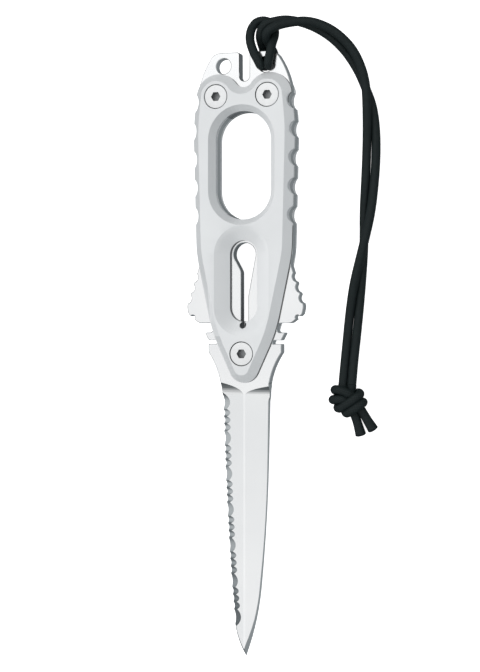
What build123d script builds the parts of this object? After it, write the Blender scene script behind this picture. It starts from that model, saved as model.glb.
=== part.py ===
from build123d import *
import math
import os

# A fixed-blade rigging knife with a doubled cord lanyard. All lengths are in millimetres.
# The knife lies on its rear scale: +Z is up, out of the front scale, +Y runs to the pommel
# and -Y to the point. The origin is under the middle of the knife, on the surface it lies on.

# Stack, from the surface up: rear scale, steel plate, front scale.
scale_t = 3.8
plate_t = 4.0
plate_z = scale_t
mid_z = scale_t + plate_t / 2
front_z = scale_t + plate_t
total_z = front_z + scale_t

# Plate
half_length = 105.0
pommel_flat = 9.0
lanyard_hole = (7.65, 100.35)
lanyard_hole_r = 2.7
notch_r = 1.82
notch_base_y = 96.7
notch_mouth_r = 1.0
grip_inset = 0.05
wing_root = (16.5, 31.5)
wing_tip = (21.3, 16.9)
wing_chin = (20.7, 14.1)
wing_foot = (16.8, 11.05)
wide_slot = (7.78, 11.65)
hook_tip_x = 14.65
hook_foot = (13.2, 5.1)
thin_slot = (3.8, 10.1)
shoulder_x = 13.3
shoulder_y = 0.9
swoop_middle = (10.45, -4.3)
neck = (8.8, -10.1)
wing_fillets = [3.0, 1.6, 2.0, 1.5, 1.2, 0.3, 0.3, 0.4, 0.4, 0.3]
edge_break = 0.2
pommel_corner = (12.35, 103.2)
pommel_side = (16.8, 92.3)

# Wing teeth: round notches along the sloping outer edge, and one on the lower edge
wing_notch_y = 26.8
wing_notch_pitch = 3.7
wing_notch_r = 1.8
wing_notch_depth = 0.85
wing_low_notch = (19.1, 13.0)
wing_low_notch_r = 0.85

# Keyhole for turning shackle pins
key_y = 34.9
key_r = 4.05
slot_half = 1.35
slot_end_y = 10.3
key_left = [(-slot_half, 29.0), (-3.3, 32.65)]
key_right = [(3.95, 34.25), (slot_half, 20.3)]
key_fillet = 3.0

# Blade: straight grinds on both sides of a narrow ridge, each a slope that steepens towards
# the point, as (y, slope) pairs, and a steep cutting bevel
ricasso_y = -13.9
heel_y = -16.4
ridge_left = 0.45
ridge_right = 0.25
plain_straight = (8.35, -36.0)
plain_belly = (5.6, -81.0)
plain_slopes = [(-13.9, 0.13), (-36, 0.165), (-57, 0.2), (-78, 0.225), (-87, 0.27), (-92, 0.31)]
plain_plunge_r = 5.0
cutting_slope = 1.8
heel_r = 4.2
serrated_start_x = -8.72
serrated_belly = (-5.95, -75.0)
serrated_point = (-4.15, -93.5)
serrated_slopes = [(-13.9, 0.205), (-45, 0.23), (-75, 0.28), (-93, 0.33)]
back_bevel_slope = 1.0
serrated_plunge_r = 6.4

# A plunge's wheel starts outside the edge and stops a little beyond the ridge
plunge_lead = 3.0
plunge_over = 0.6

# Serrations: one wide scallop, then three narrow ones, over and over
scallop_first = 2.7
scallop_pitch = 12.45
scallop_groups = 7
small_pitch = 2.55
wide_r = 6.9
small_r = 2.1
scallop_reach = 3.0
scallop_under = 0.77
scallop_run_out = 5.0

# Scales
screw_x = 9.3
screw_y = 89.45
low_screw_y = 0.45
lobe_r = 8.05
dip_y = 92.65
scale_wall = 0.9
scale_bevel_w = 2.7
side_start = (17.35, 89.5)
side_top = (18.45, 79.0)
side_mid = (17.35, 35.2)
side_low = (11.6, 8.0)
tip_corner_y = -17.2
tip_r = 5.43
side_fillets = [80, 40, 50, tip_r, 50, 40, 80]
grip_first_y = 87.7
grip_pitch = 9.85
grip_count = 5
grip_r = 3.45
grip_depth = 1.6

finger_y = 65.65
finger_half = 8.7
finger_r = 10.0
finger_bevel_w = 2.05
finger_bevel_h = 2.4
window_y = 25.6
window_half = 9.2
window_r = 4.9
dish_r = 9.9
dish_h = 2.6
relief_y = 10.35
relief_r = 1.2

# Screws and barrel nuts
clear_r = 2.6
bore_r = 4.28
bore_depth = 2.2
head_r = 4.06
head_h = 2.05
head_break = 0.15
hex_flats = 3.0
hex_depth = 2.4
shank_r = 1.94
thread_r = 2.0
barrel_r = 2.5
barrel_top = 9.2
shank_low = 3.0

# Lanyard: a doubled cord
cord_d = 2.9
hitch_gap = 0.1
hitch_thick = 2.9
hitch_leg = [(5.3, 97.9), (10.1, 97.9), (12.4, 106.5), (1.6, 106.5)]
hitch_crown = [(1.0, 106.0), (12.6, 106.0), (13.0, 112.0), (10.5, 117.0), (3.5, 117.0), (0.8, 112.5)]
strand_a_route = [
    (10.5, 112.4, 10.2), (17.2, 114.4, 9.3), (23.0, 114.5, 8.2), (29.3, 112.3, 6.8),
    (34.1, 108.8, 6.0), (38.1, 104.3, 5.5), (40.8, 98.8, 5.2), (42.4, 93.1, 5.1),
    (42.8, 87.1, 4.9), (42.6, 78.8, 3.5), (42.1, 70.4, 1.9), (41.6, 60.1, 1.6),
    (41.0, 49.2, 1.6), (41.1, 38.6, 1.6), (40.5, 28.6, 1.6), (39.6, 17.7, 1.6),
    (38.4, 6.0, 1.6), (37.6, -2.2, 2.2), (37.2, -10.6, 3.4), (36.9, -13.4, 3.8),
]
strand_b_route = [
    (9.3, 114.9, 7.8), (14.2, 115.9, 7.2), (19.0, 114.8, 5.9), (24.3, 112.8, 4.6),
    (29.6, 109.5, 3.4), (34.7, 104.4, 2.3), (38.9, 97.8, 1.7), (41.5, 91.8, 1.6),
    (44.1, 85.3, 1.6), (45.2, 77.1, 1.6), (45.3, 68.5, 1.6), (44.8, 60.0, 1.7),
    (44.1, 49.0, 3.8), (42.4, 40.5, 5.0), (40.4, 32.6, 5.1), (38.1, 24.5, 4.2),
    (36.1, 14.2, 2.1), (35.0, 4.3, 1.6), (34.4, -2.6, 2.0), (34.0, -10.1, 3.2),
    (33.9, -12.6, 3.5),
]
knot_at = (35.5, -15.7)
knot_size = (13.0, 10.4, 7.4)
knot_round = 2.9
knot_turn = -12
tail_ends = [((36.4, -18.6, 2.4), (40.2, -27.4, 1.6)), ((39.9, -17.6, 2.6), (44.0, -25.4, 1.6))]


def side_x(y):
    """Half width of the scale's straight-sided part at height y."""
    corners = [side_start, side_top, side_mid, side_low]
    for (x0, y0), (x1, y1) in zip(corners, corners[1:]):
        if y >= y1:
            return x0 + (x1 - x0) * (y0 - y) / (y0 - y1)
    return side_low[0]


def grip_scallops():
    """The five finger scallops down each side, as circles."""
    circles = []
    for i in range(grip_count):
        y = grip_first_y - i * grip_pitch
        x = side_x(y) + grip_r - grip_depth
        circles += [Pos(side * x, y) * Circle(grip_r) for side in (-1, 1)]
    return circles


def handle_side():
    """The plate's right-hand edge, from the middle of the pommel down to the neck."""
    flat = Line((0, half_length), (pommel_flat, half_length))
    corner = TangentArc(flat @ 1, pommel_corner, tangent=(1, 0))
    shoulder = TangentArc(corner @ 1, pommel_side, tangent=corner % 1)
    grip = Polyline(
        shoulder @ 1,
        (side_x(88) - grip_inset, 88),
        (side_top[0] - grip_inset, side_top[1]),
        (side_mid[0] - grip_inset, side_mid[1]),
        wing_root,
    )
    wing = FilletPolyline(
        wing_root,
        wing_tip,
        wing_chin,
        wing_foot,
        (wide_slot[1], wing_foot[1]),
        (wide_slot[1], wide_slot[0]),
        (hook_tip_x, wide_slot[0]),
        hook_foot,
        (thin_slot[1], hook_foot[1]),
        (thin_slot[1], thin_slot[0]),
        (shoulder_x, thin_slot[0]),
        (shoulder_x, shoulder_y),
        radius=wing_fillets,
    )
    swoop = ThreePointArc((shoulder_x, shoulder_y), swoop_middle, neck)
    return [flat, corner, shoulder, grip, wing, swoop]


def plain_edge(start):
    """The plain cutting edge on the right: straight, then two arcs to the point."""
    straight = Line(start, plain_straight)
    belly = TangentArc(straight @ 1, plain_belly, tangent=straight % 1)
    point = TangentArc(belly @ 1, (0, -half_length), tangent=belly % 1)
    return [straight, belly, point]


def serrated_edge():
    """The serrated edge on the left, three arcs to the point."""
    start = (serrated_start_x, ricasso_y)
    upper = TangentArc(start, serrated_belly, tangent=(0.02, -1))
    belly = TangentArc(upper @ 1, serrated_point, tangent=upper % 1)
    point = TangentArc(belly @ 1, (0, -half_length), tangent=belly % 1)
    return [upper, belly, point]


def plate_outline():
    """The outline of handle and blade in one face."""
    right = handle_side()
    left = [mirror(piece, about=Plane.YZ) for piece in right]
    heel = (neck[0], heel_y)
    root = Line(neck, heel)
    ricasso = Line((-neck[0], neck[1]), (serrated_start_x, ricasso_y))
    blade = plain_edge(heel) + serrated_edge()
    edges = [e for piece in right + left + [root, ricasso] + blade for e in piece.edges()]
    return make_face(edges)


def keyhole():
    """The shackle key's opening: a round head that tapers into a thin slot."""
    head = Pos(0, key_y) * Circle(key_r)
    left = [(-slot_half, slot_end_y)] + key_left
    right = key_right + [(slot_half, slot_end_y)]
    taper = make_face(Polyline(*left, (0, key_y), *right, close=True))
    corner = taper.vertices().sort_by_distance(key_left[0])[0]
    taper = fillet(corner, key_fillet)
    foot = Pos(0, slot_end_y) * Circle(slot_half)
    return head + taper + foot


def wing_notches():
    """Round notches along the outer edge of both wings."""
    run = Vector(wing_tip[0] - wing_root[0], wing_tip[1] - wing_root[1]).normalized()
    out = Vector(-run.Y, run.X)
    tools = []
    for i in range(3):
        y = wing_notch_y - i * wing_notch_pitch
        x = wing_root[0] + run.X / run.Y * (y - wing_root[1])
        at = Vector(x, y) + out * (wing_notch_r - wing_notch_depth)
        tools += [Pos(at.X, at.Y) * Circle(wing_notch_r), Pos(-at.X, at.Y) * Circle(wing_notch_r)]
    for side in (-1, 1):
        tools.append(Pos(side * wing_low_notch[0], wing_low_notch[1]) * Circle(wing_low_notch_r))
    return tools


def screw_places():
    return [(-screw_x, screw_y), (screw_x, screw_y), (0, low_screw_y)]


def wedge(edge, inward_side, profile):
    """Sweeps a cutting profile of (distance inwards, height above the middle) along one edge."""
    start, end = edge @ 0, edge @ 1
    along = edge % 0
    inward = Vector(-along.Y, along.X) * inward_side
    corners = [start + inward * s + Vector(0, 0, h) for s, h in profile]
    face = make_face(Polyline(*corners, close=True))
    if edge.geom_type == GeomType.LINE:
        return extrude(face, amount=(end - start).length, dir=along)
    centre = edge.arc_center
    a, b = start - centre, end - centre
    turn = math.degrees(math.atan2(a.X * b.Y - a.Y * b.X, a.X * b.X + a.Y * b.Y))
    axis = Axis(centre, (0, 0, 1 if turn > 0 else -1))
    return revolve(face, axis=axis, revolution_arc=abs(turn))


def run_out(edges):
    """Carries an edge on past the point, so that its grind leaves nothing there."""
    last = edges[-1]
    beyond = 6
    return edges + [Line(last @ 1, (last @ 1) + (last % 1) * beyond)]


def slope_at(slopes, y):
    """The slope of a grind at height y."""
    for (y0, slope0), (y1, slope1) in zip(slopes, slopes[1:]):
        if y >= y1:
            return slope0 + (slope1 - slope0) * (y0 - y) / (y0 - y1)
    return slopes[-1][1]


def straight_grind(side, ridge, slopes):
    """Everything above a surface that falls away from the ridge to one side."""
    reach = 14
    top = 2 * plate_t
    sections = []
    for y, slope in slopes + [(-half_length - 1, slopes[-1][1])]:
        low = plate_t / 2 - slope * reach
        corners = [(ridge, plate_t / 2), (ridge + reach, low), (ridge + reach, top), (ridge, top)]
        outline = Polyline(*[(side * x, y, z) for x, z in corners], close=True)
        sections.append(make_face(outline))
    return loft(sections, ruled=True)


def plunge(place, inward, height, slope, radius):
    """The round end of a grind, where the wheel ran out towards the handle."""
    x, y = place
    angle = math.atan(slope)
    along = Vector(inward * math.cos(angle), 0, math.sin(angle))
    up = Vector(-inward * math.sin(angle), 0, math.cos(angle))
    base = Vector(x, y, height) + up * radius - along * plunge_lead
    length = (abs(x) + plunge_lead) / math.cos(angle) + plunge_over
    return Plane(base, z_dir=along) * Cylinder(
        radius, length, align=(Align.CENTER, Align.CENTER, Align.MIN)
    )


def grinds():
    """Everything that is ground off the front of the blade, about the plate's middle plane."""
    edge_x = neck[0]
    half = plate_t / 2
    plain, serrated = plain_slopes[0][1], serrated_slopes[0][1]
    right_z = half - plain * (edge_x - ridge_right)
    left_z = half - serrated * (edge_x - ridge_left)
    tools = [
        straight_grind(1, ridge_right, plain_slopes),
        straight_grind(-1, ridge_left, serrated_slopes),
        plunge((edge_x, ricasso_y), -1, right_z, plain, plain_plunge_r),
        plunge((-edge_x, ricasso_y), 1, left_z, serrated, serrated_plunge_r),
        plunge((edge_x, heel_y), -1, 0, cutting_slope, heel_r),
    ]
    for edge in run_out(plain_edge((edge_x, heel_y))):
        tools.append(wedge(edge, -1, bevel_profile(cutting_slope)))
    for edge in run_out(serrated_edge())[2:]:
        tools.append(wedge(edge, 1, bevel_profile(cutting_slope)))
    return tools


def bevel_profile(slope):
    """The profile that a bevel of this slope cuts away at the edge."""
    out, deep = -0.6, 1.6
    return [(out, slope * out), (deep, slope * deep), (out, slope * deep)]


def scallop(edge_line, distance, radius):
    """One serration: a round groove, ground from the front, that climbs from the edge."""
    at = edge_line.position_at(distance, position_mode=PositionMode.LENGTH)
    along = edge_line.tangent_at(distance, position_mode=PositionMode.LENGTH)
    inward = Vector(-along.Y, along.X)
    slope = slope_at(serrated_slopes, at.Y)
    land = plate_t / 2 - slope * (-at.X - ridge_left)
    angle = math.atan(slope + (land + scallop_under) / scallop_reach)
    climb = inward * math.cos(angle) + Vector(0, 0, math.sin(angle))
    up = inward * -math.sin(angle) + Vector(0, 0, math.cos(angle))
    inner_end = at + inward * scallop_reach + Vector(0, 0, land + slope * scallop_reach)
    base = inner_end + up * radius - climb * (scallop_reach + scallop_run_out)
    return Plane(base, z_dir=climb) * Cylinder(
        radius, scallop_reach + 2 * scallop_run_out, align=(Align.CENTER, Align.CENTER, Align.MIN)
    )


def serrations():
    """A wide scallop, then three narrow ones, over and over down the left edge."""
    edge_line = Wire([e for piece in serrated_edge() for e in piece.edges()])
    tools = []
    for i in range(scallop_groups):
        at = scallop_first + i * scallop_pitch
        tools.append(scallop(edge_line, at, wide_r))
        if i < scallop_groups - 1:
            for step in (-1, 0, 1):
                middle = at + scallop_pitch / 2 + step * small_pitch
                tools.append(scallop(edge_line, middle, small_r))
    return tools


def blade_tang():
    """Blade, hooks, wings and tang, cut from one steel plate."""
    face = plate_outline() - wing_notches() - keyhole()
    for side in (-1, 1):
        face -= Pos(side * lanyard_hole[0], lanyard_hole[1]) * Circle(lanyard_hole_r)
    notch_top = half_length + 5
    notch = Pos(0, (notch_base_y + notch_top) / 2) * Rectangle(2 * notch_r, notch_top - notch_base_y)
    face -= [notch, Pos(0, notch_base_y) * Circle(notch_r)]
    mouth = [v for v in face.vertices() if abs(v.X) < 2 and v.Y > half_length - 0.1]
    face = fillet(mouth, notch_mouth_r)
    finger = Pos(0, finger_y) * Rot(0, 0, 90) * SlotCenterToCenter(2 * finger_half, 2 * finger_r)
    face -= finger
    face -= grip_scallops()
    plate = extrude(face, amount=plate_t / 2, both=True)
    for side in (-1, 0):
        plate = chamfer(plate.faces().sort_by(Axis.Z)[side].edges(), edge_break)
    plate -= [Pos(x, y) * Cylinder(clear_r, 2 * plate_t) for x, y in screw_places()]
    front = grinds()
    back = [mirror(tool, about=Plane.XY) for tool in front]
    plate -= front + back
    for edge in serrated_edge()[:2]:
        plate -= mirror(wedge(edge, 1, bevel_profile(back_bevel_slope)), about=Plane.XY)
    plate -= serrations()
    return Pos(0, 0, mid_z) * plate


def scale_outline():
    """Scale outline: a round lobe at each top screw, straight tapering sides, a round tip."""
    dip_r = (screw_x**2 + (dip_y - screw_y) ** 2 - lobe_r**2) / (2 * (lobe_r - (dip_y - screw_y)))
    dip_centre = dip_y + dip_r
    reach = math.hypot(screw_x, dip_centre - screw_y)
    join_x = screw_x * dip_r / reach
    join_y = dip_centre - (dip_centre - screw_y) * dip_r / reach
    away_x, away_y = side_top[0] - screw_x, side_top[1] - screw_y
    bearing = math.atan2(away_y, away_x) + math.acos(lobe_r / math.hypot(away_x, away_y))
    lobe_end = (screw_x + lobe_r * math.cos(bearing), screw_y + lobe_r * math.sin(bearing))
    dip = RadiusArc((-join_x, join_y), (join_x, join_y), -dip_r)
    lobe = ThreePointArc((join_x, join_y), (screw_x, screw_y + lobe_r), lobe_end)
    left_lobe = mirror(lobe, about=Plane.YZ)
    sides = FilletPolyline(
        lobe_end,
        side_top,
        side_mid,
        side_low,
        (0, tip_corner_y),
        (-side_low[0], side_low[1]),
        (-side_mid[0], side_mid[1]),
        (-side_top[0], side_top[1]),
        (-lobe_end[0], lobe_end[1]),
        radius=side_fillets,
    )
    return make_face([e for piece in (dip, lobe, left_lobe, sides) for e in piece.edges()])


def slot_shape(y, half, radius, z):
    return Pos(0, y, z) * Rot(0, 0, 90) * SlotCenterToCenter(2 * half, 2 * radius)


def funnel(y, half, top_r, low_r, top_z, low_z):
    """A slot-shaped cut whose sides slope in, with a little overshoot above the top."""
    over = 0.5
    flare = (top_r - low_r) / (top_z - low_z) * over
    top = slot_shape(y, half, top_r + flare, top_z + over)
    return loft([top, slot_shape(y, half, low_r, low_z)], ruled=True)


def scale():
    """One scale, lying on its inner face at z = 0."""
    body = extrude(scale_outline(), amount=scale_t)
    top = body.faces().sort_by(Axis.Z)[-1]
    body = chamfer(top.edges(), length=scale_bevel_w, length2=scale_t - scale_wall, reference=top)
    for circle in grip_scallops():
        body -= Pos(0, 0, -1) * extrude(circle, amount=scale_t + 2)
    low = scale_t - finger_bevel_h
    body -= funnel(finger_y, finger_half, finger_r + finger_bevel_w, finger_r, scale_t, low)
    body -= extrude(slot_shape(finger_y, finger_half, finger_r, -1), amount=scale_t + 1)
    body -= funnel(window_y, window_half, dish_r, window_r, scale_t, scale_t - dish_h)
    body -= extrude(slot_shape(window_y, window_half, window_r, -1), amount=scale_t + 1)
    body -= Pos(0, relief_y, scale_t / 2) * Cylinder(relief_r, 2 * scale_t)
    for x, y in screw_places():
        body -= Pos(x, y, scale_t / 2) * Cylinder(clear_r, 2 * scale_t)
        body -= Pos(x, y, scale_t) * Cylinder(bore_r, 2 * bore_depth)
    return body


def screw():
    """A flat-headed hex socket screw, its head's seat at z = 0."""
    head = Cylinder(head_r, head_h, align=(Align.CENTER, Align.CENTER, Align.MIN))
    head = chamfer(head.edges().sort_by(Axis.Z)[-1], head_break)
    shank = Cylinder(
        shank_r, front_z + scale_t - bore_depth - shank_low, align=(Align.CENTER, Align.CENTER, Align.MAX)
    )
    socket = extrude(RegularPolygon(hex_flats / 2, 6, major_radius=False), amount=-hex_depth)
    return head + shank - Pos(0, 0, head_h) * socket


def barrel_nut():
    """The threaded barrel behind each screw, its head's outer face down, the head's seat at z = 0."""
    head = Cylinder(head_r, head_h, align=(Align.CENTER, Align.CENTER, Align.MAX))
    head = chamfer(head.edges().sort_by(Axis.Z)[0], head_break)
    barrel = Cylinder(
        barrel_r, barrel_top - bore_depth, align=(Align.CENTER, Align.CENTER, Align.MIN)
    )
    bore = Cylinder(thread_r, barrel_top, align=(Align.CENTER, Align.CENTER, Align.MIN))
    return head + barrel - Pos(0, 0, 0.1) * bore


def hitch():
    """The outer shape of the cow hitch: through the hole and over the plate's top edge."""
    leg = make_face(Polyline(*hitch_leg, close=True))
    crown = make_face(Polyline(*hitch_crown, close=True))
    rear_z = plate_z - hitch_gap - hitch_thick
    front = Pos(0, 0, front_z + hitch_gap) * extrude(leg, amount=hitch_thick)
    rear = Pos(0, 0, rear_z) * extrude(leg, amount=hitch_thick)
    top = Pos(0, 0, rear_z) * extrude(crown, amount=plate_t + 2 * (hitch_thick + hitch_gap))
    plug = Pos(lanyard_hole[0], lanyard_hole[1], mid_z) * Cylinder(lanyard_hole_r - 0.1, plate_t + 1)
    return front + rear + top + plug


def knot():
    """The outer shape of the double overhand knot, with the two cut tails."""
    lump = Box(*knot_size)
    lump = fillet(lump.edges(), knot_round)
    lump = Pos(knot_at[0], knot_at[1], knot_size[2] / 2) * Rot(0, 0, knot_turn) * lump
    for start, end in tail_ends:
        line = Line(start, end)
        lump += sweep(Plane(line @ 0, z_dir=line % 0) * Circle(cord_d / 2), path=line)
    return lump


def strand(route, name):
    """A cord tube: straight runs joined by arcs as large as the runs allow."""
    points = [Vector(*p) for p in route]
    radii = []
    for before, at, after in zip(points, points[1:], points[2:]):
        turn = math.radians((at - before).get_angle(after - at))
        run = min((at - before).length, (after - at).length)
        radii.append(0.45 * run / math.tan(turn / 2))
    path = FilletPolyline(*points, radius=radii)
    tube = sweep(Plane(path @ 0, z_dir=path % 0) * Circle(cord_d / 2), path=path)
    section = math.pi * cord_d**2 / 4
    print(name, "radii", [round(r, 1) for r in radii], "least", round(min(radii), 1))
    print(name, "length", round(path.length, 1), "volume", round(tube.volume, 1))
    print(name, "section x length", round(section * path.length, 1))
    return tube


def build():
    base = scale()
    nodes = {
        "blade_tang": blade_tang(),
        "front_scale": Pos(0, 0, front_z) * base,
        "rear_scale": Pos(0, 0, scale_t) * mirror(base, about=Plane.XY),
        "lanyard_hitch": hitch(),
        "lanyard_knot": knot(),
    }
    for place, (x, y) in zip(("top_left", "top_right", "lower"), screw_places()):
        nodes["screw_" + place] = Pos(x, y, total_z - bore_depth) * screw()
        nodes["barrel_nut_" + place] = Pos(x, y, bore_depth) * barrel_nut()
    ends = [nodes["lanyard_hitch"], nodes["lanyard_knot"]]
    nodes["lanyard_strand_a"] = strand(strand_a_route, "strand a") - ends
    nodes["lanyard_strand_b"] = strand(strand_b_route, "strand b") - ends
    return nodes


os.makedirs("parts", exist_ok=True)
for node, shape in build().items():
    export_step(shape, "parts/" + node + ".step")
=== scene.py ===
import math

import bpy
import numpy as np
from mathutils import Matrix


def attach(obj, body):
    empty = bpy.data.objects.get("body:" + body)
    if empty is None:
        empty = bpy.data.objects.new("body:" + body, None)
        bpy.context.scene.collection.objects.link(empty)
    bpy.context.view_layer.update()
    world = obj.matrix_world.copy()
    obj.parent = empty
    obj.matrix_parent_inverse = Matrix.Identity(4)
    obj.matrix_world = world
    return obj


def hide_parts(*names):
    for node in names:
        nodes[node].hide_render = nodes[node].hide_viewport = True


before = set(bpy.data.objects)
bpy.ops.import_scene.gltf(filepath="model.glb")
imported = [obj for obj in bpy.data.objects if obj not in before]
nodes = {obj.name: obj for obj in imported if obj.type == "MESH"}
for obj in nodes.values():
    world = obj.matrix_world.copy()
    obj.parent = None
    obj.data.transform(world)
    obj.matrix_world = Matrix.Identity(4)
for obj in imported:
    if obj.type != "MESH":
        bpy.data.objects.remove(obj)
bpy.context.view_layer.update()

# A rigging knife lying on its rear scale, with a doubled cord lanyard. Everything is in metres, in the
# frame of the CAD model: +Z is up, out of the front scale, and the point is towards -Y.
MM = 0.001

# Camera: a long lens, a little to the right of straight above
CAMERA_PLACE = (0.1803, 0.0128, 0.5599)
CAMERA_TURN = (-0.62, 18.24, -0.02)  # degrees
CAMERA_LENS = 89.7

# Studio light: how bright each soft lobe of the surroundings is. The high lobes fade out towards the
# horizon, and the far ones are narrower than the others on their side.
OVERHEAD = 0.84
OVERHEAD_FOCUS = 8.0
HIGH_LEFT = 0.95
HIGH_RIGHT = 0.9
FAR_RIGHT = 0.85
HIGH_POINT = 1.1
HIGH_POMMEL = 1.931
LEFT_HORIZON = 0.45
FAR_LEFT = 0.12
GROUND = 0.21
GROUND_RIGHT = 0.14
HORIZON_BLUR = 0.1
WHITE = (1, 1, 1, 1)
DIM_TINT = (0.84, 0.95, 1.0, 1)  # what little light there is is a little cooler

# Floor
FLOOR_HALF = 2.0
FLOOR_GLOW = 0.85
FLOOR_PAPER = (0.93, 0.93, 0.93, 1)

# Places on the knife where painted shade or light starts and ends
SOCKET_HEIGHTS = (8 * MM, 11.3 * MM)  # a screw's surface between these is down in its socket
RIM_HEIGHTS = (7 * MM, 8.8 * MM)  # the front scale's lowest walls, painted dark with shade away from the finger hole
FINGER_Y = 65.65 * MM  # the finger hole's middle
FINGER_REACH = 21.1 * MM  # half the length of the finger hole with its bevel
HOLES_HALF = 12.3 * MM  # the front scale's holes and their bevels are nearer the middle line than this
DISH_END_Y = 6.5 * MM  # the end of the dish round the window
WINDOW_HALF = 6 * MM  # the window and the keyhole under it are nearer the middle line than this
# Painted shade in the keyhole:
KEY_Y = 33 * MM  # the keyhole gets darker from its round head here
SLOT_END_Y = 11 * MM  # to the end of its slot here
# Painted shade and reflection darken the blade's plunges:
PLUNGE_Y = -9.5 * MM  # the blade's plunges start below here,
RICASSO_Y = -14.2 * MM  # are darkest down to here, where the serrations begin,
ROOT_Y = -18 * MM  # and have run out here

# Slopes, by how far a surface's true normal points up
WALL_UP = (-0.5, 0.3)
CHAMFER_UP = (0.5, 0.9)
GRIND_UP = 0.93  # the flats are higher

# Slopes, by how far the normal points right or to the pommel: where painted shade or light starts and ends
RIGHT_SLOPE = (0.06, 0.36)
LEFT_SLOPE = (-0.3, -0.7)
PLUNGE_SLOPE = (-0.02, -0.4)
DISH_RIGHT = 0.6  # the dish's own slopes face right less than this
CHAMFER_RIGHT = -0.3  # the left chamfers face left more than this

# Grain
NOISE_MIDDLE = (0.3, 0.7)  # where most of a noise's values are
GRIND_SCALE = (120.0, 6000.0, 600.0)  # grinding lines run across the blade and change fast along it

# Colours of the finishes, and of the shade and light painted on them
CORD_HOLLOW_SHADE = (0.001, 0.0015, 0.0015, 1)
CORD_TOP = (0.016, 0.025, 0.026, 1)
ALLOY = (0.80, 0.815, 0.825)
ALLOY_SHADED = (0.65, 0.665, 0.675, 1)
ALLOY_LIT = (0.92, 0.93, 0.94, 1)
ALLOY_WALL_SHADE = (0.22, 0.23, 0.235, 1)
ALLOY_RIM_SHADE = (0.06, 0.065, 0.07, 1)
FASTENER = (0.80, 0.81, 0.815)
# painted shade down in the screws' sockets
SOCKET_SHADE = (0.25, 0.26, 0.265, 1)
STEEL_CLOUD = (0.80, 0.81, 0.82, 1)
STEEL_CLEAR = (0.84, 0.85, 0.855, 1)
STEEL_SERRATION_SHADE = (0.6, 0.62, 0.63, 1)
STEEL_PLUNGE_SHADE = (0.16, 0.17, 0.175, 1)
STEEL_CHAMFER_SHADE = (0.2, 0.21, 0.215, 1)
SLOT_DEEP_SHADE = (0.03, 0.032, 0.034, 1)
SLOT_HEAD_SHADE = (0.32, 0.33, 0.34, 1)

# Edges of the softened metal parts
SCALE_EDGE = 0.2 * MM
FASTENER_EDGE = 0.08 * MM
WELD_GAP = 0.001 * MM
SHARP_EDGE = math.radians(30)

# Cord
CORD_R = 1.55 * MM
CELLS_AROUND = 12  # braid cells round the sheath
CELL_LENGTH = 0.66 * MM
CELL_SAMPLES = 3  # mesh points across a cell
BRAID_HEIGHT = 0.1 * MM
THREADS = 4  # threads in a yarn
THREAD_RELIEF = 0.2
FLARE = 0.2  # how much wider a cut end is than the cord
FLARE_LENGTH = 6 * MM
END_CROWN = [(0.94, 0.12), (0.8, 0.24), (0.5, 0.33), (0.2, 0.36)]  # each ring's width and rise, in radii

# Routes, in millimetres. Each strand leaves the hitch behind the steel's top edge, turns over the
# bight and runs down to the knot.
STRAND_A = [
    (8.6, 106.4, 4.4), (8.4, 107.7, 6.6), (8.1, 109.1, 8.9), (8.7, 110.6, 10.3), (10.5, 112.1, 10.6),
    (13.6, 113.3, 10.2), (17.2, 114.0, 9.5),
    (23.0, 114.5, 8.2), (29.3, 112.3, 6.8), (34.1, 108.8, 6.0), (38.1, 104.3, 5.5), (40.8, 98.8, 5.2),
    (42.4, 93.1, 5.1), (42.8, 87.1, 4.9), (42.6, 78.8, 3.5), (42.1, 70.4, 1.9), (41.6, 60.1, 1.6),
    (41.0, 49.2, 1.6), (41.1, 38.6, 1.6), (40.5, 28.6, 1.6), (39.6, 17.7, 1.6), (38.4, 6.0, 1.6),
    (37.6, -2.2, 2.2), (37.2, -10.6, 3.4), (36.9, -13.4, 3.8),
]
STRAND_B = [
    (5.4, 106.6, 3.4), (5.2, 108.4, 5.2), (5.3, 110.3, 7.0), (6.4, 112.6, 8.3), (8.5, 114.3, 8.7),
    (11.5, 114.9, 8.4), (14.6, 115.4, 7.6), (19.0, 114.8, 5.9),
    (24.3, 112.8, 4.6), (29.6, 109.5, 3.4), (34.7, 104.4, 2.3), (38.9, 97.8, 1.7), (41.5, 91.8, 1.6),
    (44.1, 85.3, 1.6), (45.2, 77.1, 1.6), (45.3, 68.5, 1.6), (44.8, 60.0, 1.7), (44.1, 49.0, 3.8),
    (42.4, 40.5, 5.0), (40.4, 32.6, 5.1), (38.1, 24.5, 4.2), (36.1, 14.2, 2.1), (35.0, 4.3, 1.6),
    (34.4, -2.6, 2.0), (34.0, -10.1, 3.2), (33.9, -12.6, 3.5),
]
# The bight: up the back of the steel, through the hole, up the front, round behind the strands and
# the same way back.
BIGHT = [
    (8.6, 106.4, 4.4), (9.1, 105.0, 2.5), (9.1, 103.2, 2.2), (8.9, 101.2, 2.1), (8.9, 100.2, 3.4),
    (8.9, 100.1, 5.8), (8.9, 99.6, 8.4), (9.1, 100.0, 9.8), (9.3, 101.6, 9.5), (9.6, 103.2, 9.4),
    (10.0, 105.6, 9.0), (10.2, 107.8, 8.0), (10.5, 110.2, 6.3), (10.1, 112.9, 4.9), (8.6, 115.0, 4.6),
    (6.3, 116.0, 4.9), (3.8, 115.5, 5.7), (2.4, 113.4, 6.8), (2.0, 110.9, 7.8), (2.3, 108.4, 8.6),
    (3.2, 105.8, 9.1), (4.5, 103.1, 9.4), (5.6, 101.3, 9.5), (6.2, 100.0, 9.7), (6.4, 99.6, 8.4),
    (6.4, 100.1, 5.8), (6.4, 100.2, 3.4), (6.2, 101.2, 2.1), (5.7, 103.2, 2.2), (5.4, 105.0, 2.4),
    (5.4, 106.6, 3.4),
]
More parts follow.
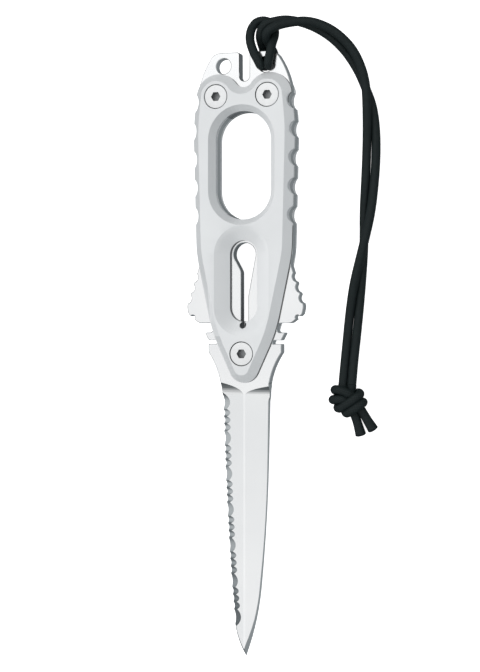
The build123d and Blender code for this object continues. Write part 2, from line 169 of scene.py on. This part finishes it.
# The two cords of the knot, each from its strand's end to the end of its tail
KNOT_B = [
    (34.0, -10.6, 3.7), (34.0, -11.9, 3.5), (33.7, -14.2, 2.9), (32.9, -16.5, 2.9), (32.1, -18.0, 3.6),
    (33.4, -18.2, 5.2), (35.4, -17.1, 6.1), (37.8, -15.6, 6.4), (39.6, -14.1, 5.9), (40.5, -13.2, 4.4),
    (39.5, -12.7, 2.4), (37.7, -13.2, 1.6), (35.0, -13.3, 1.6), (32.6, -12.8, 1.6), (31.1, -12.1, 2.6),
    (31.4, -11.7, 4.2), (33.1, -11.7, 5.6), (34.8, -12.1, 5.9), (36.7, -13.2, 5.4), (38.1, -14.6, 4.0),
    (39.2, -16.5, 3.4), (39.9, -17.9, 3.0), (40.7, -19.2, 2.6), (42.3, -22.1, 2.0), (44.3, -25.2, 1.95),
]
KNOT_A = [
    (37.4, -10.2, 3.9), (37.1, -12.1, 3.6), (36.3, -14.7, 3.0), (35.4, -17.3, 2.7), (34.8, -19.0, 3.2),
    (35.6, -19.9, 4.6), (37.0, -19.3, 5.9), (39.0, -18.1, 6.3), (40.6, -16.8, 5.8), (41.6, -16.0, 4.4),
    (40.8, -15.9, 2.5), (39.2, -16.4, 1.6), (36.5, -16.3, 1.6), (33.6, -15.6, 1.6), (31.5, -15.1, 1.6),
    (30.4, -15.2, 2.6), (30.7, -15.3, 4.2), (32.3, -15.1, 5.4), (34.0, -14.9, 5.8), (35.4, -15.4, 5.0),
    (36.6, -16.9, 4.0), (37.4, -19.0, 3.2), (38.2, -20.7, 2.6), (39.0, -23.6, 1.9), (40.0, -27.1, 1.95),
]


def add_camera():
    """The scene's camera, which sees the whole knife and its lanyard."""
    data = bpy.data.cameras.new("camera")
    data.lens = CAMERA_LENS
    camera = bpy.data.objects.new("camera", data)
    camera.location = CAMERA_PLACE
    camera.rotation_euler = [math.radians(angle) for angle in CAMERA_TURN]
    bpy.context.scene.collection.objects.link(camera)
    bpy.context.scene.camera = camera


def smooth_line(route):
    """The smooth line through a route, as a NURBS spline makes it: an array of points in metres."""
    curve = bpy.data.curves.new("route", "CURVE")
    curve.dimensions = "3D"
    spline = curve.splines.new("NURBS")
    spline.points.add(len(route) - 1)
    for point, place in zip(spline.points, route):
        point.co = (*[value * MM for value in place], 1)
    spline.order_u = 3
    spline.use_endpoint_u = True
    spline.resolution_u = 12
    holder = bpy.data.objects.new("route", curve)
    line = bpy.data.meshes.new_from_object(holder)
    points = np.array([vertex.co[:] for vertex in line.vertices])
    bpy.data.objects.remove(holder)
    bpy.data.curves.remove(curve)
    bpy.data.meshes.remove(line)
    return points


def even_points(line, step):
    """Points along a line, a step apart, and how far along it each one is."""
    runs = np.linalg.norm(np.diff(line, axis=0), axis=1)
    along = np.concatenate([[0], np.cumsum(runs)])
    count = max(4, round(along[-1] / step))
    places = np.linspace(0, along[-1], count + 1)
    points = np.stack([np.interp(places, along, line[:, axis]) for axis in range(3)], axis=1)
    return points, places


def directions(points):
    """A line's direction and two across it at each point, which twist as little as they can along it."""
    tangents = np.gradient(points, axis=0)
    tangents /= np.linalg.norm(tangents, axis=1)[:, None]
    across = np.zeros_like(points)
    side = np.cross(tangents[0], (0.3, 0.2, 1.0))
    for i, tangent in enumerate(tangents):
        side = side - tangent * side.dot(tangent)
        side /= np.linalg.norm(side)
        across[i] = side
    return tangents, across, np.cross(tangents, across)


def braid(around, along):
    """Height of the braided sheath, from 0 between its strands to 1 on top of them."""
    p = np.pi * (around + along)
    q = np.pi * (around - along)
    return np.abs(np.sin(p) * np.sin(q))


def cord_rings(line, cut_end):
    """Rings of points round a cord, with rounded ends, and each ring's place in braid cells."""
    points, places = even_points(line, CELL_LENGTH / CELL_SAMPLES)
    tangents, first, second = directions(points)
    radii = np.full(len(points), CORD_R)
    if cut_end:
        near = np.clip(1 - (places[-1] - places) / FLARE_LENGTH, 0, 1)
        radii *= 1 + FLARE * near**2
    around = np.arange(CELLS_AROUND * CELL_SAMPLES) / CELL_SAMPLES
    along = places / CELL_LENGTH
    relief = BRAID_HEIGHT * (braid(around[None, :], along[:, None]) - 0.5)
    reach = radii[:, None] + relief
    angle = 2 * np.pi * around / CELLS_AROUND
    spoke = first[:, None] * np.cos(angle)[:, None] + second[:, None] * np.sin(angle)[:, None]
    rings = points[:, None] + spoke * reach[..., None]
    start = end_rings(points[0], -tangents[0], spoke[0], reach[0])[::-1]
    end = end_rings(points[-1], tangents[-1], spoke[-1], reach[-1])
    rings = np.concatenate([start, rings, end])
    extra = np.arange(1, len(start) + 1) / CELL_SAMPLES
    along = np.concatenate([-extra[::-1], along, along[-1] + extra])
    return rings, along


def end_rings(centre, outward, spoke, reach):
    """The rings that close a cord's end with a low round crown."""
    radius = reach.mean()
    rings = [centre + outward * radius * rise + spoke * reach[:, None] * width for width, rise in END_CROWN]
    return np.array(rings)


def cord_mesh(name, lines, cut_end=False):
    """One mesh object of braided cord along each line."""
    vertices, faces, uvs = [], [], []
    for line in lines:
        rings, along = cord_rings(line, cut_end)
        base = sum(len(part) for part in vertices)
        count, size = rings.shape[:2]
        vertices.append(rings.reshape(-1, 3))
        for i in range(count - 1):
            for k in range(size):
                after = (k + 1) % size
                row = base + i * size
                next_row = row + size
                faces.append((row + k, row + after, next_row + after, next_row + k))
                left, right = k / CELL_SAMPLES, (k + 1) / CELL_SAMPLES
                uvs += [(left, along[i]), (right, along[i]), (right, along[i + 1]), (left, along[i + 1])]
        for row, way in ((base, -1), (base + (count - 1) * size, 1)):
            faces.append(tuple(range(row, row + size))[::way])
            uvs += [(0, 0)] * size
    mesh = bpy.data.meshes.new(name)
    mesh.from_pydata(np.concatenate(vertices).tolist(), [], faces)
    layer = mesh.uv_layers.new(name="braid")
    layer.data.foreach_set("uv", np.array(uvs, np.float32).ravel())
    mesh.polygons.foreach_set("use_smooth", [True] * len(mesh.polygons))
    cord = bpy.data.objects.new(name, mesh)
    bpy.context.scene.collection.objects.link(cord)
    return cord


def add_lanyard():
    """The bight on the steel, two strands and the knot with its cut tails."""
    bight = cord_mesh("lanyard_bight", [smooth_line(BIGHT)])
    knot = cord_mesh("lanyard_overhand", [smooth_line(KNOT_A), smooth_line(KNOT_B)], cut_end=True)
    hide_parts("lanyard_hitch")
    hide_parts("lanyard_knot")
    made = [bight, knot]
    for name, route in (("a", STRAND_A), ("b", STRAND_B)):
        line = smooth_line(route)
        strand = cord_mesh("lanyard_cord_" + name, [line])
        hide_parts("lanyard_strand_" + name)
        made.append(strand)
    material = cord_material()
    for piece in made:
        piece.data.materials.append(material)
        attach(piece, "root")


class Nodes:
    """Short ways to add shader nodes to one material."""

    def __init__(self, tree):
        self.tree = tree

    def add(self, kind, inputs=(), **settings):
        node = self.tree.nodes.new("ShaderNode" + kind)
        for key, value in settings.items():
            setattr(node, key, value)
        for key, value in dict(inputs).items():
            self.put(node.inputs[key], value)
        return node

    def put(self, socket, value):
        if isinstance(value, bpy.types.NodeSocket):
            self.tree.links.new(value, socket)
        else:
            socket.default_value = value

    def math(self, operation, *values):
        node = self.add("Math", operation=operation)
        for socket, value in zip(node.inputs, values):
            self.put(socket, value)
        return node.outputs[0]

    def product(self, *values):
        """The values multiplied together, which for masks is where all of them hold."""
        total = values[0]
        for value in values[1:]:
            total = self.math("MULTIPLY", total, value)
        return total

    def under(self, value, limit):
        return self.math("LESS_THAN", value, limit)

    def between(self, value, low, high):
        return self.product(self.math("GREATER_THAN", value, low), self.under(value, high))

    def split(self, vector):
        return self.add("SeparateXYZ", {"Vector": vector}).outputs

    def place(self):
        return self.add("TexCoord").outputs["Object"]

    def facing(self):
        """How far the surface's true normal points right, to the pommel and up."""
        return self.split(self.add("NewGeometry").outputs["True Normal"])

    def noise(self, vector, scale, detail):
        node = self.add("TexNoise", {"Vector": vector, "Scale": scale, "Detail": detail})
        return node.outputs["Fac"]

    def range(self, value, low, high, to_low=0.0, to_high=1.0):
        sockets = {"Value": value, "From Min": low, "From Max": high, "To Min": to_low, "To Max": to_high}
        return self.add("MapRange", sockets).outputs["Result"]

    def spread(self, noise, low=0.0, high=1.0):
        """The middle of a noise, where most of it is, stretched to run from low to high."""
        return self.range(noise, *NOISE_MIDDLE, low, high)

    def mix(self, share, first, second):
        node = self.add("Mix", data_type="RGBA")
        for index, value in ((0, share), (6, first), (7, second)):  # a colour mix's own sockets
            self.put(node.inputs[index], value)
        return node.outputs[2]

    def bump(self, shader, height, strength, distance):
        node = self.add("Bump", {"Height": height, "Strength": strength, "Distance": distance})
        self.put(shader.inputs["Normal"], node.outputs[0])


def new_material(name, **sockets):
    """A material, its nodes and its shader, with the shader's named sockets set."""
    material = bpy.data.materials.new(name)
    material.use_nodes = True
    shader = material.node_tree.nodes["Principled BSDF"]
    for key, value in sockets.items():
        shader.inputs[key.replace("_", " ")].default_value = value
    return material, Nodes(material.node_tree), shader


def cord_material():
    """Black braided sheath: two ways of yarn cross over each other, dull, with fine threads and painted
    shade between the yarns.
    """
    material, n, shader = new_material("cord_black", Specular_IOR_Level=0.15)
    around, along, _ = n.split(n.add("UVMap", uv_map="braid").outputs[0])
    p = n.math("ADD", around, along)
    q = n.math("SUBTRACT", around, along)
    rise_p = n.math("ABSOLUTE", n.math("SINE", n.product(p, math.pi)))
    rise_q = n.math("ABSOLUTE", n.math("SINE", n.product(q, math.pi)))
    yarn = n.math("SQRT", n.product(rise_p, rise_q))
    over = n.math("PINGPONG", n.math("ADD", n.math("FLOOR", p), n.math("FLOOR", q)), 1.0)
    side = n.math("ADD", n.product(p, over), n.product(q, n.math("SUBTRACT", 1.0, over)))
    thread = n.math("ABSOLUTE", n.math("SINE", n.product(side, THREADS * math.pi)))
    relief = n.math("MULTIPLY_ADD", thread, THREAD_RELIEF, yarn)
    spots = n.noise(n.place(), scale=900.0, detail=4.0)
    # painted shade in the hollows between yarns, with random spots of tone
    tone = n.product(relief, n.spread(spots, 0.7))
    n.put(shader.inputs["Base Color"], n.mix(tone, CORD_HOLLOW_SHADE, CORD_TOP))
    n.put(shader.inputs["Roughness"], n.range(relief, 0.0, 1.0 + THREAD_RELIEF, 0.7, 0.42))
    n.bump(shader, relief, strength=0.6, distance=0.05 * MM)
    return material


def blasted(name, colour, metallic, roughness):
    """Bead-blasted metal: an even, very fine grain of dimples."""
    material, n, shader = new_material(name, Metallic=metallic)
    place = n.place()
    grain = n.noise(place, scale=4200.0, detail=3.0)
    cloud = n.noise(place, scale=60.0, detail=3.0)
    darker = [value * 0.95 for value in colour] + [1]
    n.put(shader.inputs["Base Color"], n.mix(n.spread(cloud), darker, [*colour, 1]))
    n.put(shader.inputs["Roughness"], n.spread(grain, roughness - 0.06, roughness + 0.06))
    n.bump(shader, grain, strength=0.35, distance=0.03 * MM)
    return material


def colour_of(material):
    """A finished material's nodes, its shader's colour socket and what feeds it."""
    socket = material.node_tree.nodes["Principled BSDF"].inputs["Base Color"]
    return Nodes(material.node_tree), socket, socket.links[0].from_socket


def shade_sockets(material):
    """Darkens the screws below their faces with painted shade down in the sockets."""
    n, colour, unshaded = colour_of(material)
    height = n.split(n.place())[2]
    n.put(colour, n.mix(n.between(height, *SOCKET_HEIGHTS), unshaded, SOCKET_SHADE))


def wall_shade_mask(n, place):
    """1 on every steep wall nearer the middle line than the window's sides are, where shade is painted, and
    0 elsewhere.
    """
    side = n.math("ABSOLUTE", n.split(place)[0])
    return n.product(n.under(side, WINDOW_HALF), n.between(n.facing()[2], *WALL_UP))


def paint_scale_shade(material):
    """Paints shade on the front scale's walls, rim and its holes' right-facing slopes, and paints light on
    the left ones.
    """
    n, colour, unshaded = colour_of(material)
    place = n.place()
    side, along, height = n.split(place)
    to_right, _, up = n.facing()
    front = n.math("GREATER_THAN", height, RIM_HEIGHTS[0])
    from_finger = n.math("ABSOLUTE", n.math("SUBTRACT", along, FINGER_Y))
    by_finger = n.under(from_finger, FINGER_REACH)
    in_dish = n.product(n.between(along, DISH_END_Y, FINGER_Y), n.under(to_right, DISH_RIGHT))
    by_middle = n.under(n.math("ABSOLUTE", side), HOLES_HALF)
    inside = n.product(front, by_middle, n.math("MAXIMUM", by_finger, in_dish))
    # painted shade on the holes' right-facing slopes, painted light on their left-facing ones
    shaded = n.product(inside, n.range(to_right, *RIGHT_SLOPE))
    shown = n.mix(shaded, unshaded, ALLOY_SHADED)
    lit = n.product(inside, n.range(to_right, *LEFT_SLOPE))
    shown = n.mix(lit, shown, ALLOY_LIT)
    # painted shade on the walls by the middle line, and on the low rim
    shown = n.mix(wall_shade_mask(n, place), shown, ALLOY_WALL_SHADE)
    steep = n.between(up, *WALL_UP)
    rim = n.product(n.between(height, *RIM_HEIGHTS), steep, n.math("SUBTRACT", 1.0, by_finger))
    n.put(colour, n.mix(rim, shown, ALLOY_RIM_SHADE))


def ground_steel():
    """Satin steel: fine grinding lines across the blade over a smooth, bright surface."""
    material, n, shader = new_material("plate_steel", Metallic=1.0)
    place = n.place()
    stretched = n.add("Mapping", {"Vector": place, "Scale": GRIND_SCALE}).outputs[0]
    lines = n.noise(stretched, scale=1.0, detail=3.0)
    cloud = n.noise(place, scale=45.0, detail=2.0)
    unshaded = n.mix(n.spread(cloud), STEEL_CLOUD, STEEL_CLEAR)
    n.put(shader.inputs["Base Color"], paint_steel_shade(n, place, unshaded))
    n.put(shader.inputs["Roughness"], n.spread(lines, 0.12, 0.2))
    n.bump(shader, lines, strength=0.12, distance=0.01 * MM)
    return material


def paint_steel_shade(n, place, unshaded):
    """The steel's colour with painted shade on serrations, plunges, left chamfers and the walls by the
    middle line.
    """
    side, along, _ = n.split(place)
    to_right, to_pommel, up = n.facing()
    # painted shade in the serration grooves
    serrated = n.product(n.under(side, 0.0), n.under(along, RICASSO_Y), n.under(up, GRIND_UP))
    colour = n.mix(serrated, unshaded, STEEL_SERRATION_SHADE)
    # painted shade and dark reflection on the plunges
    by_plunge = n.product(n.range(along, ROOT_Y, RICASSO_Y), n.under(along, PLUNGE_Y))
    plunge = n.product(by_plunge, n.range(to_pommel, *PLUNGE_SLOPE))
    colour = n.mix(plunge, colour, STEEL_PLUNGE_SHADE)
    handle = n.math("GREATER_THAN", along, 0.0)
    # painted shade on the left chamfers
    chamfer = n.product(handle, n.under(to_right, CHAMFER_RIGHT), n.between(up, *CHAMFER_UP))
    colour = n.mix(chamfer, colour, STEEL_CHAMFER_SHADE)
    # painted shade on the keyhole's walls, darkest at the end of the slot
    slot_shade = n.mix(n.range(along, SLOT_END_Y, KEY_Y), SLOT_DEEP_SHADE, SLOT_HEAD_SHADE)
    return n.mix(n.product(handle, wall_shade_mask(n, place)), colour, slot_shade)


def finish_metal():
    """Puts the metals on the CAD parts and rounds the edges of all but the ground steel."""
    steel = ground_steel()
    alloy = blasted("scale_alloy", ALLOY, metallic=0.15, roughness=0.5)
    screws = blasted("fastener_steel", FASTENER, metallic=0.8, roughness=0.4)
    shade_sockets(screws)
    paint_scale_shade(alloy)
    finishes = {"blade": (steel, 0), "front": (alloy, SCALE_EDGE), "rear": (alloy, SCALE_EDGE)}
    finishes |= {"screw": (screws, FASTENER_EDGE), "barrel": (screws, FASTENER_EDGE)}
    for name, node in nodes.items():
        start = name.split("_")[0]
        if start in finishes:
            material, width = finishes[start]
            node.data.materials.clear()
            node.data.materials.append(material)
            if width:
                soften(node, width)


def soften(node, width):
    """Rounds a CAD part's sharp edges a little."""
    weld = node.modifiers.new("weld", "WELD")
    weld.merge_threshold = WELD_GAP
    bevel = node.modifiers.new("edge_break", "BEVEL")
    bevel.width = width
    bevel.segments = 2
    bevel.limit_method = "ANGLE"
    bevel.angle_limit = SHARP_EDGE
    bevel.use_clamp_overlap = True
    shade = node.modifiers.new("shade", "WEIGHTED_NORMAL")
    shade.keep_sharp = False


def add_floor():
    """A pale floor that glows a little, and that the knife neither reflects nor is lit by."""
    mesh = bpy.data.meshes.new("floor")
    corners = [(x * FLOOR_HALF, y * FLOOR_HALF, 0) for x, y in ((-1, -1), (1, -1), (1, 1), (-1, 1))]
    mesh.from_pydata(corners, [], [(0, 1, 2, 3)])
    floor = bpy.data.objects.new("floor", mesh)
    bpy.context.scene.collection.objects.link(floor)
    sockets = {"Base_Color": FLOOR_PAPER, "Emission_Color": WHITE, "Emission_Strength": FLOOR_GLOW}
    material, _, _ = new_material("floor_paper", Roughness=0.9, **sockets)
    mesh.materials.append(material)
    floor.visible_diffuse = False
    floor.visible_glossy = False
    floor.visible_shadow = False


def add_world():
    """Pale studio surroundings, as a sum of soft lobes by direction."""
    world = bpy.data.worlds.new("studio")
    world.use_nodes = True
    bpy.context.scene.world = world
    n = Nodes(world.node_tree)
    x, y, z = n.split(n.add("TexCoord").outputs["Generated"])
    above = n.range(z, -HORIZON_BLUR, HORIZON_BLUR)
    below = n.math("SUBTRACT", 1.0, above)
    rise = n.math("MAXIMUM", z, 0.0)
    left = n.math("MAXIMUM", n.product(x, -1.0), 0.0)
    right = n.math("MAXIMUM", x, 0.0)
    to_point = n.math("MAXIMUM", n.product(y, -1.0), 0.0)
    to_pommel = n.math("MAXIMUM", y, 0.0)
    lobes = [
        (n.math("POWER", rise, OVERHEAD_FOCUS), OVERHEAD),
        (n.product(rise, left), HIGH_LEFT),
        (n.product(rise, right), HIGH_RIGHT),
        (n.product(rise, right, right), FAR_RIGHT),
        (n.product(rise, to_point), HIGH_POINT),
        (n.product(rise, to_pommel), HIGH_POMMEL),
        (n.product(above, left), LEFT_HORIZON),
        (n.product(above, left, left, left), FAR_LEFT),
        (below, GROUND),
        (n.product(below, right), GROUND_RIGHT),
    ]
    light = 0.0
    for lobe, brightness in lobes:
        light = n.math("MULTIPLY_ADD", lobe, brightness, light)
    tint = n.mix(n.math("MINIMUM", light, 1.0), DIM_TINT, WHITE)
    tinted = n.add("VectorMath", {0: tint, 1: light}, operation="MULTIPLY").outputs[0]
    n.put(world.node_tree.nodes["Background"].inputs["Color"], tinted)


add_camera()
add_lanyard()
finish_metal()
add_floor()
add_world()
bpy.context.scene.view_settings.view_transform = "Standard"
